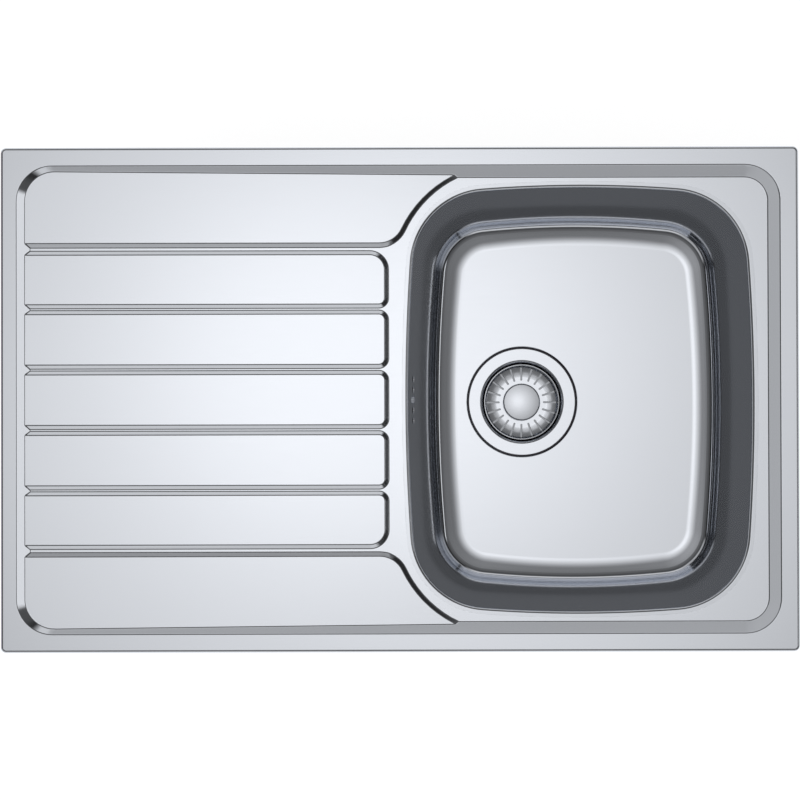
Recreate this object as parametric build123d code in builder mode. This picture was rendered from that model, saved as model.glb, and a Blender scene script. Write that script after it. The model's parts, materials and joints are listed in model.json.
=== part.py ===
from build123d import *
import os
from math import atan2, cos, hypot, pi, radians, sin, sqrt

# Inset stainless-steel kitchen sink with a drainboard, in millimetres.
# Z = 0 is the worktop's surface under the middle of the sink. +X points to the bowl, +Y to the rear.

# ---- deck ----
sink_length = 790.0
sink_width = 500.0
outer_radius = 6.0
sheet = 1.0
rim_height = 4.0
lip_clearance = 0.2
rim_side = 18.5
rim_left = 16.0
recess_radius = 35.0
recess_depth = 9.2
slope_run = 11.5
slope_run_left = 18.9
draw_radius = 2.5
lip_radius = 3.0
die_depth = 20.0

# ---- drainboard ----
board_end_gap = 23.1
end_run = 4.0
board_fall = 2.8
field_rise = 2.5
groove_count = 6
groove_margin = 100.625
groove_width = 9.8
outer_groove_width = 11.6
groove_run = 3.9
shoulder_run = 4.6
end_corner = 6.0
outer_end_corner = 15.0
shoulder_radius = 113.6
shoulder_inset = 96.3
shoulder_margin = 129.8
shoulder_blend = 24.7
shoulder_end_angle = 12.0

# ---- bowl ----
bowl_length = 340.8
bowl_end_margin = 46.0
bowl_side_margin = 40.0
bowl_bulge = 10.0
bowl_corner = 74.6
bowl_depth = 141.0
wall_lean = 27.0
heel_corner = 50.0
heel_radius = 12.0
toe_run = 18.0
toe_rise = 2.5
toe_radius = 80.0
weld_margin = 6.0
mouth_radius = 3.5

# ---- waste ----
waste_inset = 116.8
seat_radius = 55.8
seat_lead = 0.5
seat_drop = 3.0
seat_hole_radius = 44.5
cup_gasket_thickness = 1.5
cup_sheet = 0.8
flange_radius = 54.0
cup_mouth_radius = 40.4
cup_floor_radius = 39.0
cup_depth = 27.6
cup_mouth_bend = 2.4
cup_floor_bend = 4.0
port_count = 6
port_radius = 4.2
port_circle = 13.6
body_gasket_thickness = 2.5
gasket_setback = 1.5
body_flange_radius = 54.5
body_flange_thickness = 4.0
body_wall = 3.0
body_bore = 43.5
body_dish = 38.0
outlet_diameter = 47.8
outlet_wall = 3.6
outlet_length = 36.0
cone_height = 14.0
boss_radius = 7.0
spoke_thickness = 3.0
spoke_count = 3
spoke_height = 8.0
screw_clearance = 0.05
waste_screw_radius = 3.0
waste_screw_length = 20.0
screw_head_radius = 7.0
screw_head_height = 8.0
screw_head_chamfer = 0.8
stem_socket_radius = 4.0
stem_socket_depth = 6.5

# ---- basket ----
basket_sheet = 0.8
basket_rim_radius = 38.4
basket_wall_foot = 37.4
basket_flat_radius = 26.0
basket_dish_radius = 31.5
basket_dish_rise = 0.3
basket_foot_rise = 1.2
basket_height = 19.0
basket_bend = 2.0
basket_dish_bend = 55.0
slot_count = 20
slot_width = 2.0
slot_inner = 22.2
slot_outer = 36.8
cap_radius = 19.0
cap_height = 12.6
cap_skirt = 11.9
cap_crown_radius = 9.5
cap_crown_drop = 0.25
cap_centre_radius = 4.2
cap_bend = 1.2
cap_crown_bend = 60.0
basket_eye_radius = 8.0
seal_thickness = 3.5
seal_radius = 20.5
stem_clearance = 0.05
stem_tip_gap = 0.5
stem_chamfer = 0.6
seal_lip = 1.5

# ---- overflow ----
overflow_depth = 27.0
overflow_pitch = 10.3
overflow_slot_width = 6.2
overflow_slot_height = 10.0
overflow_screw_radius = 2.0
overflow_head_radius = 3.6
overflow_head_height = 1.8
overflow_head_lift = 0.01
overflow_cross_width = 0.9
overflow_screw_length = 13.0
overflow_hole_clearance = 0.3
pillar_radius = 4.5
pillar_gap = 0.3
overflow_gasket_thickness = 2.0
wall_bow_reach = 0.75
housing_length = 58.0
housing_height = 22.0
housing_depth = 20.0
housing_wall = 3.0
housing_corner = 9.0
housing_edge = 2.0
spigot_radius = 12.0
spigot_bore = 8.5
spigot_height = 22.0
overflow_spigot_reach = 14.4
overflow_spigot_end = -58.0
branch_drop = 27.0
branch_reach = 62.0
washer_thickness = 2.0
hose_bore_radius = 8.5
hose_root_radius = 9.6
hose_crest_radius = 11.0
hose_cuff_radius = 10.0
hose_flange_radius = 11.8
hose_flange_thickness = 2.0
hose_rib_pitch = 5.0
hose_cuff = 22.0
hose_bend_radius = 38.0
nut_radius = 16.0
nut_length = 17.0
nut_shoulder = 3.0
nut_clearance = 0.1
nut_shoulder_gap = 0.3
nut_grip_count = 12
nut_grip_radius = 1.5

# ---- sealing strip and sound pads ----
strip_inset = 3.0
strip_width = 7.0
pad_thickness = 2.5
bowl_pad_inset = 67.9
bowl_pad_corner = 20.0
pad_waste_clearance = 8.0
board_pad_thickness = 2.0
board_pad_inset = 59.05
board_pad_margin = 9.875
board_pad_corner = 4.0

# ---- clamps ----
clamp_setback = 27.0
clamp_end_inset = 125.0
clamp_bowl_gap = 38.2
bracket_width = 16.0
bracket_reach = 8.0
bracket_sheet = 1.5
bracket_web_top = -20.0
bracket_web = 2.0
collar_radius = 4.5
collar_height = 4.0
clamp_screw_radius = 2.5
clamp_screw_length = 30.0
clamp_head_radius = 4.5
clamp_head_height = 3.5
clamp_head_slot = 1.2
clamp_tip = -19.0
hook_bore_clearance = 0.08
hook_sheet = 2.5
hook_width = 10.0
hook_reach = 24.0
hook_tooth = 6.0
hook_eye = 6.0
hook_notch = 1.4

# ---- levels and places that follow from the sizes above ----
surround_z = rim_height - recess_depth
recess_left = -sink_length / 2 + rim_left
recess_right = sink_length / 2 - rim_side
recess_rear = sink_width / 2 - rim_side
bowl_x = sink_length / 2 - bowl_end_margin - bowl_length / 2
bowl_left = bowl_x - bowl_length / 2
bowl_width = sink_width - 2 * bowl_side_margin
board_end = bowl_left - board_end_gap
board_foot = board_end + end_run
board_length = board_foot - recess_left
fall_rate = board_fall / board_length
groove_pitch = (sink_width - 2 * groove_margin) / (groove_count - 1)
low_plane = Plane(origin=(board_foot, 0, surround_z), x_dir=(1, 0, -fall_rate), z_dir=(fall_rate, 0, 1))
floor_z = surround_z - bowl_depth
waste_x = bowl_left + waste_inset
seat_z = floor_z - seat_drop
flange_z = seat_z + cup_gasket_thickness + cup_sheet
cup_floor_z = flange_z - cup_depth
body_top_z = seat_z - sheet - body_gasket_thickness
dish_floor_z = body_top_z - body_dish
outlet_top_z = dish_floor_z - cone_height
outlet_end_z = outlet_top_z - outlet_length
branch_z = body_top_z - branch_drop
spoke_low_z = dish_floor_z + body_wall
boss_bottom_z = spoke_low_z - spoke_height
outlet_radius = outlet_diameter / 2
basket_floor_z = cup_floor_z + seal_thickness
wall_slope = wall_lean / bowl_depth
die_bottom = surround_z - die_depth


def save(part, label):
    part.label = label
    export_step(part, f"parts/{label}.step")


os.makedirs("parts", exist_ok=True)
on_base = (Align.CENTER, Align.CENTER, Align.MIN)


# ---- deck: one pressing, made as a die that is cut by itself one sheet lower ----
def recess_cutter():
    left = slope_run_left
    foot_length = recess_right - recess_left - slope_run - left
    foot_x = (recess_right - slope_run + recess_left + left) / 2
    mouth_x = (recess_right + recess_left) / 2
    with BuildPart() as cutter:
        with BuildSketch(Plane(origin=(mouth_x, 0, rim_height))):
            RectangleRounded(recess_right - recess_left, 2 * recess_rear, recess_radius)
        with BuildSketch(Plane(origin=(foot_x, 0, surround_z))):
            RectangleRounded(foot_length, 2 * (recess_rear - slope_run), recess_radius - slope_run)
        loft(ruled=True)
        # The board's low plane rises away from the bowl.
        with BuildSketch(Plane.XZ):
            with BuildLine():
                far = -sink_length / 2
                rise = fall_rate * (board_foot - far)
                Polyline(
                    (board_foot, surround_z),
                    (far, surround_z + rise),
                    (far, surround_z - 1),
                    (board_foot, surround_z - 1),
                    close=True,
                )
            make_face()
        extrude(amount=sink_width / 2, both=True, mode=Mode.SUBTRACT)
    return cutter.part


def field_section(index, share):
    # A field between two grooves, cut across. Its sides are out by their whole run when share is 1.
    middle = (groove_count - 1) / 2
    half_low = outer_groove_width / 2 if index == 0 else groove_width / 2
    half_high = outer_groove_width / 2 if index == groove_count - 2 else groove_width / 2
    side = share * groove_run
    low = (index - middle) * groove_pitch + half_low - side
    high = (index + 1 - middle) * groove_pitch - half_high + side
    right = share * end_run - end_run
    left = recess_left - rim_left / 2 - board_foot
    low_corner = outer_end_corner if index == 0 else end_corner
    high_corner = outer_end_corner if index == groove_count - 2 else end_corner
    radii = [low_corner + side, high_corner + side]
    with BuildSketch(low_plane.offset((1 - share) * field_rise)) as section:
        with BuildLine():
            FilletPolyline((left, low), (right, low), (right, high), (left, high), radius=radii)
            Line((left, high), (left, low))
        make_face()
    return section.sketch


def shoulder_section(share):
    # The field beyond the last groove. Its edge swings round the bowl's corner in two opposed arcs.
    run = share * shoulder_run
    low = (groove_count - 1) / 2 * groove_pitch + outer_groove_width / 2
    left = recess_left - rim_left / 2 - board_foot
    far = recess_rear + rim_side / 2
    round_x = bowl_left + shoulder_inset - board_foot
    round_y = sink_width / 2 - shoulder_margin
    blend_y = low + shoulder_blend
    blend_x = round_x - sqrt((shoulder_radius + shoulder_blend) ** 2 - (blend_y - round_y) ** 2)
    # Both centres see the joint along one line.
    joint_angle = atan2(blend_y - round_y, blend_x - round_x)
    tip_angle = radians(90 + shoulder_end_angle)
    blend = shoulder_blend + run
    arch = shoulder_radius - run

    def on_blend(angle):
        return (blend_x + blend * cos(angle), blend_y + blend * sin(angle))

    def on_arch(angle):
        return (round_x + arch * cos(angle), round_y + arch * sin(angle))

    down = -pi / 2
    joint = on_arch(joint_angle)
    tip = on_arch(tip_angle)
    with BuildSketch(low_plane.offset((1 - share) * field_rise)) as section:
        with BuildLine():
            Line((left, low - run), (blend_x, low - run))
            ThreePointArc((blend_x, low - run), on_blend((down + joint_angle - pi) / 2), joint)
            ThreePointArc(joint, on_arch((joint_angle + tip_angle) / 2), tip)
            Polyline(tip, (tip[0], far), (left, far), (left, low - run))
        make_face()
    return section.sketch


def field(section):
    # A field is a loft from its flat top down to its foot, set a little under the groove's floor.
    under = 1.2
    with BuildPart() as raised:
        add(section(0))
        add(section(under))
        loft(ruled=True)
    return raised.part


def pressing_die():
    fields = [field(lambda share: field_section(index, share)) for index in range(groove_count - 1)]
    shoulder = field(shoulder_section)
    cutter = recess_cutter()
    with BuildPart() as die:
        with BuildSketch(Plane.XY.offset(die_bottom)):
            RectangleRounded(sink_length, sink_width, outer_radius)
        extrude(amount=rim_height - die_bottom)
        add(cutter, mode=Mode.SUBTRACT)
        add(fields)
        add(shoulder)
        add(shoulder.mirror(Plane.XZ))
        # Every edge of the relief is drawn over the same radius.
        relief = die.edges().filter_by(lambda edge: edge.bounding_box().min.Z > die_bottom + sheet)
        inside = relief.filter_by(lambda edge: not on_outline(edge))
        fillet(inside, draw_radius)
        lip = die.faces().sort_by(Axis.Z)[-1].outer_wire().edges()
        fillet(lip, lip_radius)
    return die.part


def on_outline(edge):
    middle = edge.center()
    return abs(middle.X) > sink_length / 2 - outer_radius or abs(middle.Y) > sink_width / 2 - outer_radius


def barrel(grow, corner, level):
    # The bowl's outline at a level, with bowed sides, grown outwards by some amount.
    half_x = bowl_length / 2 + grow
    half_y = bowl_width / 2 + grow
    x = half_x - bowl_bulge
    y = half_y - bowl_bulge
    with BuildSketch(Plane(origin=(bowl_x, 0, level))) as outline:
        with BuildLine():
            ThreePointArc((-x, -y), (0, -half_y), (x, -y))
            ThreePointArc((x, -y), (half_x, 0), (x, y))
            ThreePointArc((x, y), (0, half_y), (-x, y))
            ThreePointArc((-x, y), (-half_x, 0), (-x, -y))
        make_face()
        fillet(outline.vertices(), corner)
    return outline.sketch


die = pressing_die()
weld_outline = barrel(weld_margin, bowl_corner + weld_margin, surround_z)
with BuildPart() as lip_core:
    with BuildSketch(Plane.XY.offset(die_bottom)):
        RectangleRounded(sink_length - 2 * sheet, sink_width - 2 * sheet, outer_radius - sheet)
    extrude(amount=rim_height - die_bottom)
with BuildPart() as drainboard_deck:
    add(die)
    # The underside is the same relief one sheet lower, inside the turned-down lip.
    add(die.moved(Location((0, 0, -sheet))) & lip_core.part, mode=Mode.SUBTRACT)
    inside_length = sink_length - 2 * sheet
    inside_width = sink_width - 2 * sheet
    with BuildSketch(Plane.XY.offset(die_bottom)):
        Rectangle(sink_length + outer_radius, sink_width + outer_radius)
        RectangleRounded(inside_length, inside_width, outer_radius - sheet, mode=Mode.SUBTRACT)
    extrude(amount=lip_clearance - die_bottom, mode=Mode.SUBTRACT)
    extrude(to_extrude=weld_outline, amount=2 * sheet, both=True, mode=Mode.SUBTRACT)
save(drainboard_deck.part, "drainboard_deck")

# ---- bowl: drawn from one sheet, with a flange that is welded into the deck ----
def bowl_form(grow):
    # The bowl as a solid, grown outwards and downwards: steep walls, a rounded heel, a slightly dished toe.
    heel_z = floor_z + toe_rise - grow
    heel_inset = wall_slope * (surround_z - heel_z) - grow
    toe_inset = wall_lean + toe_run
    with BuildPart() as form:
        add(barrel(grow, bowl_corner + grow, surround_z))
        add(barrel(-heel_inset, heel_corner + grow, heel_z))
        loft(ruled=True)
        add(barrel(-heel_inset, heel_corner + grow, heel_z))
        add(barrel(-toe_inset, heel_corner - toe_run, floor_z - grow))
        loft(ruled=True)
        fillet(form.faces().sort_by(Axis.Z)[0].edges(), toe_radius + grow)
        heel = form.edges().filter_by(lambda edge: abs(edge.center().Z - heel_z) < toe_rise / 4)
        fillet(heel.filter_by(lambda edge: abs(edge.bounding_box().size.Z) < 0.01), heel_radius + grow)
    return form.part


bowl_cavity = bowl_form(0)
with BuildPart() as bowl:
    add(bowl_form(sheet))
    # The strainer's seat is pressed into the floor.
    with Locations((waste_x, 0, seat_z - sheet)):
        Cone(seat_radius + sheet, seat_radius + seat_lead + sheet, seat_drop, align=on_base)
    extrude(to_extrude=weld_outline, amount=-sheet)
    level_faces = bowl.faces().filter_by(Plane.XY)
    under_flange = level_faces.sort_by(lambda face: abs(face.center().Z - surround_z + sheet))[0]
    fillet(under_flange.inner_wires()[0].edges(), mouth_radius - sheet)
    add(bowl_cavity, mode=Mode.SUBTRACT)
    with Locations((waste_x, 0, seat_z)):
        Cone(seat_radius, seat_radius + seat_lead, seat_drop, align=on_base, mode=Mode.SUBTRACT)
    with Locations((waste_x, 0, seat_z)):
        Cylinder(seat_hole_radius, 4 * sheet, mode=Mode.SUBTRACT)
    mouth = bowl.faces().sort_by(Axis.Z)[-1].inner_wires()[0].edges()
    fillet(mouth, mouth_radius)


# ---- helpers for round and hung pieces ----
def upright(x):
    # A plane through a vertical axis at x. Its own x is the radius and its own y is the height.
    return Plane(origin=(x, 0, 0), x_dir=(1, 0, 0), z_dir=(0, -1, 0))


def turned(x, outline):
    with BuildPart() as solid:
        with BuildSketch(upright(x)):
            with BuildLine():
                Polyline(*outline, close=True)
            make_face()
        revolve(axis=Axis((x, 0, 0), (0, 0, 1)))
    return solid.part


def spun_sheet(x, path, radii, thickness):
    # A thin shell turned about the axis at x, drawn as the middle line of its sheet.
    with BuildPart() as shell:
        with BuildSketch(upright(x)):
            with BuildLine() as middle:
                FilletPolyline(*path, radius=radii)
            trace(middle.line, line_width=thickness)
        revolve(axis=Axis((x, 0, 0), (0, 0, 1)))
    return shell.part


def ring(x, inner, outer, low, high):
    return turned(x, [(inner, low), (outer, low), (outer, high), (inner, high)])


# ---- overflow: four slots and a screw through the bowl's wall, a housing behind ----
overflow_x = bowl_left - sheet + wall_slope * overflow_depth
overflow_spigot_x = overflow_x - overflow_spigot_reach
overflow_z = surround_z - overflow_depth
overflow_plane = Plane(origin=(overflow_x, 0, overflow_z), x_dir=(0, 1, 0), z_dir=(-1, 0, -wall_slope))
wall_thickness = sheet / hypot(1, wall_slope)
inner_face = overflow_plane.offset(-wall_thickness)
housing_plane = overflow_plane.offset(overflow_gasket_thickness)

with BuildPart() as pierced_bowl:
    add(bowl.part)
    with BuildSketch(overflow_plane):
        with Locations(*[(step * overflow_pitch, 0) for step in (-2, -1, 1, 2)]):
            SlotOverall(overflow_slot_height, overflow_slot_width, rotation=90)
        Circle(overflow_screw_radius + overflow_hole_clearance)
    extrude(amount=2 * sheet, both=True, mode=Mode.SUBTRACT)
save(pierced_bowl.part, "bowl")

window_length = housing_length - 2 * housing_wall
window_height = housing_height - 2 * housing_wall
window_corner = housing_corner - housing_wall
with BuildPart() as overflow_gasket:
    with BuildSketch(housing_plane):
        RectangleRounded(housing_length, housing_height, housing_corner)
        RectangleRounded(window_length, window_height, window_corner, mode=Mode.SUBTRACT)
    # Its far face takes the bow of the bowl's wall.
    extrude(amount=-overflow_gasket_thickness - wall_bow_reach)
    add(pierced_bowl.part, mode=Mode.SUBTRACT)
save(overflow_gasket.part, "overflow_gasket")

spigot_plane = Plane.XY.offset(overflow_spigot_end).move(Location((overflow_spigot_x, 0, 0)))
with BuildPart() as overflow_housing:
    with BuildSketch(housing_plane):
        RectangleRounded(housing_length, housing_height, housing_corner)
    extrude(amount=housing_depth)
    fillet(overflow_housing.faces().sort_by(Axis.X)[0].edges(), housing_edge)
    with BuildSketch(spigot_plane):
        Circle(spigot_radius)
    extrude(amount=spigot_height)
    with BuildSketch(housing_plane):
        RectangleRounded(window_length, window_height, window_corner)
    extrude(amount=housing_depth - housing_wall, mode=Mode.SUBTRACT)
    with BuildSketch(spigot_plane):
        Circle(spigot_bore)
    extrude(amount=spigot_height - housing_wall, mode=Mode.SUBTRACT)
    # The screw's pillar stands on the back wall and stops just short of the bowl.
    with BuildSketch(overflow_plane.offset(pillar_gap)):
        Circle(pillar_radius)
    extrude(amount=overflow_gasket_thickness + housing_depth - housing_wall - pillar_gap)
    with BuildSketch(overflow_plane):
        Circle(overflow_screw_radius + screw_clearance)
    extrude(amount=overflow_screw_length, mode=Mode.SUBTRACT)
save(overflow_housing.part, "overflow_housing")

head_seat = inner_face.offset(-overflow_head_lift)
with BuildPart() as overflow_screw:
    with BuildSketch(head_seat):
        Circle(overflow_head_radius)
    extrude(amount=-overflow_head_height)
    fillet(overflow_screw.edges().sort_by(Axis.X)[-1], overflow_head_height / 2)
    with BuildSketch(head_seat.offset(-overflow_head_height)):
        Rectangle(overflow_head_radius, overflow_cross_width)
        Rectangle(overflow_cross_width, overflow_head_radius)
    extrude(amount=overflow_head_height / 2, mode=Mode.SUBTRACT)
    with BuildSketch(head_seat):
        Circle(overflow_screw_radius)
    extrude(amount=overflow_screw_length - pillar_gap)
save(overflow_screw.part, "overflow_screw")


# ---- overflow hose, its nuts and its washers ----
hose_top_z = overflow_spigot_end - washer_thickness
hose_end_x = waste_x - branch_reach - washer_thickness
hose_drop = hose_top_z - branch_z - hose_bend_radius
hose_arc = hose_bend_radius * pi / 2
hose_reach = hose_end_x - overflow_spigot_x - hose_bend_radius
hose_length = hose_drop + hose_arc + hose_reach


def hose_plane(run):
    # The plane across the hose after a run from its upper end: down, round the bend, then along +X.
    bend_x = overflow_spigot_x + hose_bend_radius
    bend_z = branch_z + hose_bend_radius
    if run <= hose_drop:
        return Plane(origin=(overflow_spigot_x, 0, hose_top_z - run), x_dir=(0, 1, 0), z_dir=(0, 0, -1))
    angle = min((run - hose_drop) / hose_bend_radius, pi / 2)
    beyond = max(run - hose_drop - hose_arc, 0)
    x = bend_x - hose_bend_radius * cos(angle) + beyond
    z = bend_z - hose_bend_radius * sin(angle)
    return Plane(origin=(x, 0, z), x_dir=(0, 1, 0), z_dir=(sin(angle), 0, -cos(angle)))


rib_count = int((hose_length - 2 * hose_cuff) / hose_rib_pitch)
first_rib = (hose_length - rib_count * hose_rib_pitch) / 2
rib_profile = [(0.1, hose_root_radius), (0.3, hose_crest_radius)]
rib_profile += [(0.7, hose_crest_radius), (0.9, hose_root_radius)]
with BuildPart() as hose_bore:
    with BuildLine(Plane.XZ) as route:
        Line((overflow_spigot_x, hose_top_z), (overflow_spigot_x, hose_top_z - hose_drop))
        JernArc(route.line @ 1, (0, -1), hose_bend_radius, 90)
        Line(route.line @ 1, (hose_end_x, branch_z))
    with BuildSketch(hose_plane(0)):
        Circle(hose_bore_radius)
    sweep()
with BuildPart() as overflow_hose:
    with BuildSketch(hose_plane(0)):
        Circle(hose_cuff_radius)
    with BuildSketch(hose_plane(first_rib)):
        Circle(hose_cuff_radius)
    for rib in range(rib_count):
        start = first_rib + rib * hose_rib_pitch
        for share, radius in rib_profile:
            with BuildSketch(hose_plane(start + share * hose_rib_pitch)):
                Circle(radius)
    with BuildSketch(hose_plane(hose_length - first_rib)):
        Circle(hose_cuff_radius)
    with BuildSketch(hose_plane(hose_length)):
        Circle(hose_cuff_radius)
    loft(ruled=True)
    for end in (hose_plane(0), hose_plane(hose_length - hose_flange_thickness)):
        with BuildSketch(end):
            Circle(hose_flange_radius)
        extrude(amount=hose_flange_thickness)
    add(hose_bore.part, mode=Mode.SUBTRACT)
save(overflow_hose.part, "overflow_hose")


def hose_washer(plane):
    # A flat ring between a spigot and the hose's flange.
    with BuildPart() as washer:
        with BuildSketch(plane):
            Circle(hose_flange_radius)
            Circle(spigot_bore, mode=Mode.SUBTRACT)
        extrude(amount=washer_thickness)
    return washer.part


def union_nut(plane):
    # The plane lies on the hose side of the shoulder and looks towards the spigot.
    with BuildPart() as nut:
        with BuildSketch(plane):
            Circle(nut_radius)
            with PolarLocations(nut_radius + nut_grip_radius / 3, nut_grip_count):
                Circle(nut_grip_radius, mode=Mode.SUBTRACT)
        extrude(amount=nut_length)
        with BuildSketch(plane):
            Circle(hose_cuff_radius + nut_shoulder_gap)
        extrude(amount=nut_length, mode=Mode.SUBTRACT)
        with BuildSketch(plane.offset(nut_shoulder)):
            Circle(spigot_radius + nut_clearance)
        extrude(amount=nut_length, mode=Mode.SUBTRACT)
    return nut.part


upper_end = hose_plane(0)
lower_end = hose_plane(hose_length)
from_hose = nut_shoulder + hose_flange_thickness
save(hose_washer(Plane(origin=upper_end.origin, z_dir=(0, 0, 1))), "hose_washer_upper")
save(hose_washer(lower_end), "hose_washer_lower")
save(union_nut(Plane(origin=upper_end.origin, z_dir=(0, 0, 1)).offset(-from_hose)), "hose_nut_upper")
save(union_nut(lower_end.offset(-from_hose)), "hose_nut_lower")


# ---- waste: cup, gaskets, plastic body with its overflow branch, centre screw ----
half_cup = cup_sheet / 2
with BuildPart() as strainer_cup:
    cup_path = [
        (flange_radius, flange_z - half_cup),
        (cup_mouth_radius + half_cup, flange_z - half_cup),
        (cup_floor_radius + half_cup, cup_floor_z - half_cup),
        (waste_screw_radius + screw_clearance, cup_floor_z - half_cup),
    ]
    add(spun_sheet(waste_x, cup_path, [cup_mouth_bend, cup_floor_bend], cup_sheet))
    with Locations((waste_x, 0, cup_floor_z)):
        with PolarLocations(port_circle, port_count):
            Hole(port_radius, depth=2 * cup_sheet)
save(strainer_cup.part, "strainer_cup")

gasket_inner = seat_hole_radius + gasket_setback
cup_gasket_outer = flange_radius - gasket_setback
body_gasket_outer = body_flange_radius - gasket_setback
save(ring(waste_x, gasket_inner, cup_gasket_outer, seat_z, seat_z + cup_gasket_thickness), "cup_gasket")
save(ring(waste_x, gasket_inner, body_gasket_outer, body_top_z, seat_z - sheet), "body_gasket")

outlet_bore = outlet_radius - outlet_wall
with BuildPart() as waste_body:
    shell = [
        (body_bore, body_top_z),
        (body_flange_radius, body_top_z),
        (body_flange_radius, body_top_z - body_flange_thickness),
        (body_bore + body_wall, body_top_z - body_flange_thickness),
        (body_bore + body_wall, dish_floor_z),
        (outlet_radius, outlet_top_z),
        (outlet_radius, outlet_end_z),
        (outlet_bore, outlet_end_z),
        (outlet_bore, outlet_top_z),
        (body_bore, dish_floor_z),
    ]
    add(turned(waste_x, shell))
    branch_plane = Plane(origin=(waste_x - branch_reach, 0, branch_z), x_dir=(0, 1, 0), z_dir=(1, 0, 0))
    with BuildSketch(branch_plane):
        Circle(spigot_radius)
    extrude(amount=branch_reach - body_bore - body_wall / 2)
    with BuildSketch(branch_plane):
        Circle(spigot_bore)
    extrude(amount=branch_reach - outlet_radius, mode=Mode.SUBTRACT)
    # A pillar on three spokes takes the centre screw.
    boss_top = cup_floor_z - cup_sheet
    with BuildSketch(Plane.XY.offset(spoke_low_z)):
        with Locations((waste_x, 0)):
            with PolarLocations(body_bore / 2 + body_wall / 4, spoke_count):
                Rectangle(body_bore + body_wall / 2, spoke_thickness)
            Circle(boss_radius)
    extrude(amount=spoke_height)
    with Locations((waste_x, 0, boss_bottom_z)):
        Cylinder(boss_radius, boss_top - boss_bottom_z, align=on_base)
    with Locations((waste_x, 0, boss_top)):
        Hole(waste_screw_radius + screw_clearance, depth=boss_top - boss_bottom_z)
save(waste_body.part, "waste_body")

with BuildPart() as waste_screw:
    with Locations((waste_x, 0, cup_floor_z)):
        Cylinder(screw_head_radius, screw_head_height, align=on_base)
    chamfer(waste_screw.edges().group_by(Axis.Z)[-1], screw_head_chamfer)
    with Locations((waste_x, 0, cup_floor_z + screw_head_height)):
        Hole(stem_socket_radius, depth=stem_socket_depth)
    with Locations((waste_x, 0, cup_floor_z)):
        Cylinder(waste_screw_radius, waste_screw_length, align=(Align.CENTER, Align.CENTER, Align.MAX))
save(waste_screw.part, "waste_screw")


# ---- basket: lifts out as one, with its cap, stem and rubber seal ----
half_basket = basket_sheet / 2
basket_top_z = basket_floor_z + basket_height
with BuildPart() as basket:
    basket_path = [
        (basket_rim_radius - half_basket, basket_top_z),
        (basket_wall_foot - half_basket, basket_floor_z + half_basket + basket_foot_rise),
        (basket_dish_radius, basket_floor_z + half_basket + basket_dish_rise),
        (basket_flat_radius, basket_floor_z + half_basket),
        (basket_eye_radius, basket_floor_z + half_basket),
    ]
    basket_bends = [basket_bend, basket_dish_bend, basket_dish_bend / 2]
    add(spun_sheet(waste_x, basket_path, basket_bends, basket_sheet))
    with BuildSketch(Plane.XY.offset(basket_floor_z - basket_sheet)):
        with Locations((waste_x, 0)):
            with PolarLocations((slot_inner + slot_outer) / 2, slot_count):
                SlotOverall(slot_outer - slot_inner, slot_width)
    extrude(amount=basket_height + 2 * basket_sheet, mode=Mode.SUBTRACT)
save(basket.part, "basket")

cap_base_z = basket_floor_z + basket_sheet
cap_top_z = cap_base_z + cap_height
with BuildPart() as basket_cap:
    cap_path = [
        (cap_radius - half_basket, cap_base_z),
        (cap_radius - half_basket, cap_base_z + cap_skirt),
        (cap_crown_radius, cap_top_z - half_basket - cap_crown_drop),
        (cap_centre_radius, cap_top_z - half_basket),
    ]
    add(spun_sheet(waste_x, cap_path, [cap_bend, cap_crown_bend], basket_sheet))
    # The dome is whole on its axis.
    with Locations((waste_x, 0, cap_top_z - half_basket)):
        Cylinder(cap_centre_radius, basket_sheet)
save(basket_cap.part, "basket_cap")

stem_radius = stem_socket_radius - stem_clearance
stem_foot_z = cup_floor_z + screw_head_height - stem_socket_depth + stem_tip_gap
with BuildPart() as basket_stem:
    with Locations((waste_x, 0, stem_foot_z)):
        Cylinder(stem_radius, cap_top_z - basket_sheet - stem_foot_z, align=on_base)
    chamfer(basket_stem.edges().group_by(Axis.Z)[0], stem_chamfer)
save(basket_stem.part, "basket_stem")

seal_profile = [
    (basket_eye_radius, cup_floor_z),
    (seal_radius, cup_floor_z),
    (seal_radius, cup_floor_z + seal_lip),
    (seal_radius - seal_lip, basket_floor_z),
    (basket_eye_radius, basket_floor_z),
]
save(turned(waste_x, seal_profile), "basket_seal")


# ---- sealing strip and sound pads ----
with BuildPart() as rim_seal:
    strip_length = sink_length - 2 * strip_inset
    strip_breadth = sink_width - 2 * strip_inset
    strip_radius = outer_radius - strip_inset
    with BuildSketch():
        RectangleRounded(strip_length, strip_breadth, strip_radius)
        Rectangle(strip_length - 2 * strip_width, strip_breadth - 2 * strip_width, mode=Mode.SUBTRACT)
    extrude(amount=rim_height - sheet)
save(rim_seal.part, "rim_seal")

pad_length = bowl_length - 2 * bowl_pad_inset
pad_width = bowl_width - 2 * bowl_pad_inset
with BuildPart() as bowl_sound_pad:
    with BuildSketch(Plane.XY.offset(floor_z - sheet)):
        with Locations((bowl_x, 0)):
            RectangleRounded(pad_length, pad_width, bowl_pad_corner)
        with Locations((waste_x, 0)):
            Circle(seat_radius + seat_lead + pad_waste_clearance, mode=Mode.SUBTRACT)
    extrude(amount=-pad_thickness)
save(bowl_sound_pad.part, "bowl_sound_pad")

under_fields = low_plane.offset(field_rise).move(Location((0, 0, -sheet)))
board_pad_length = board_length - 2 * board_pad_inset
board_pad_width = groove_pitch - 2 * board_pad_margin
with BuildPart() as drainboard_sound_pads:
    with BuildSketch(under_fields):
        with Locations((-board_length / 2, 0)):
            with GridLocations(0, groove_pitch, 1, groove_count - 1):
                RectangleRounded(board_pad_length, board_pad_width, board_pad_corner)
    extrude(amount=-board_pad_thickness)
save(drainboard_sound_pads.part, "drainboard_sound_pads")


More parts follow.
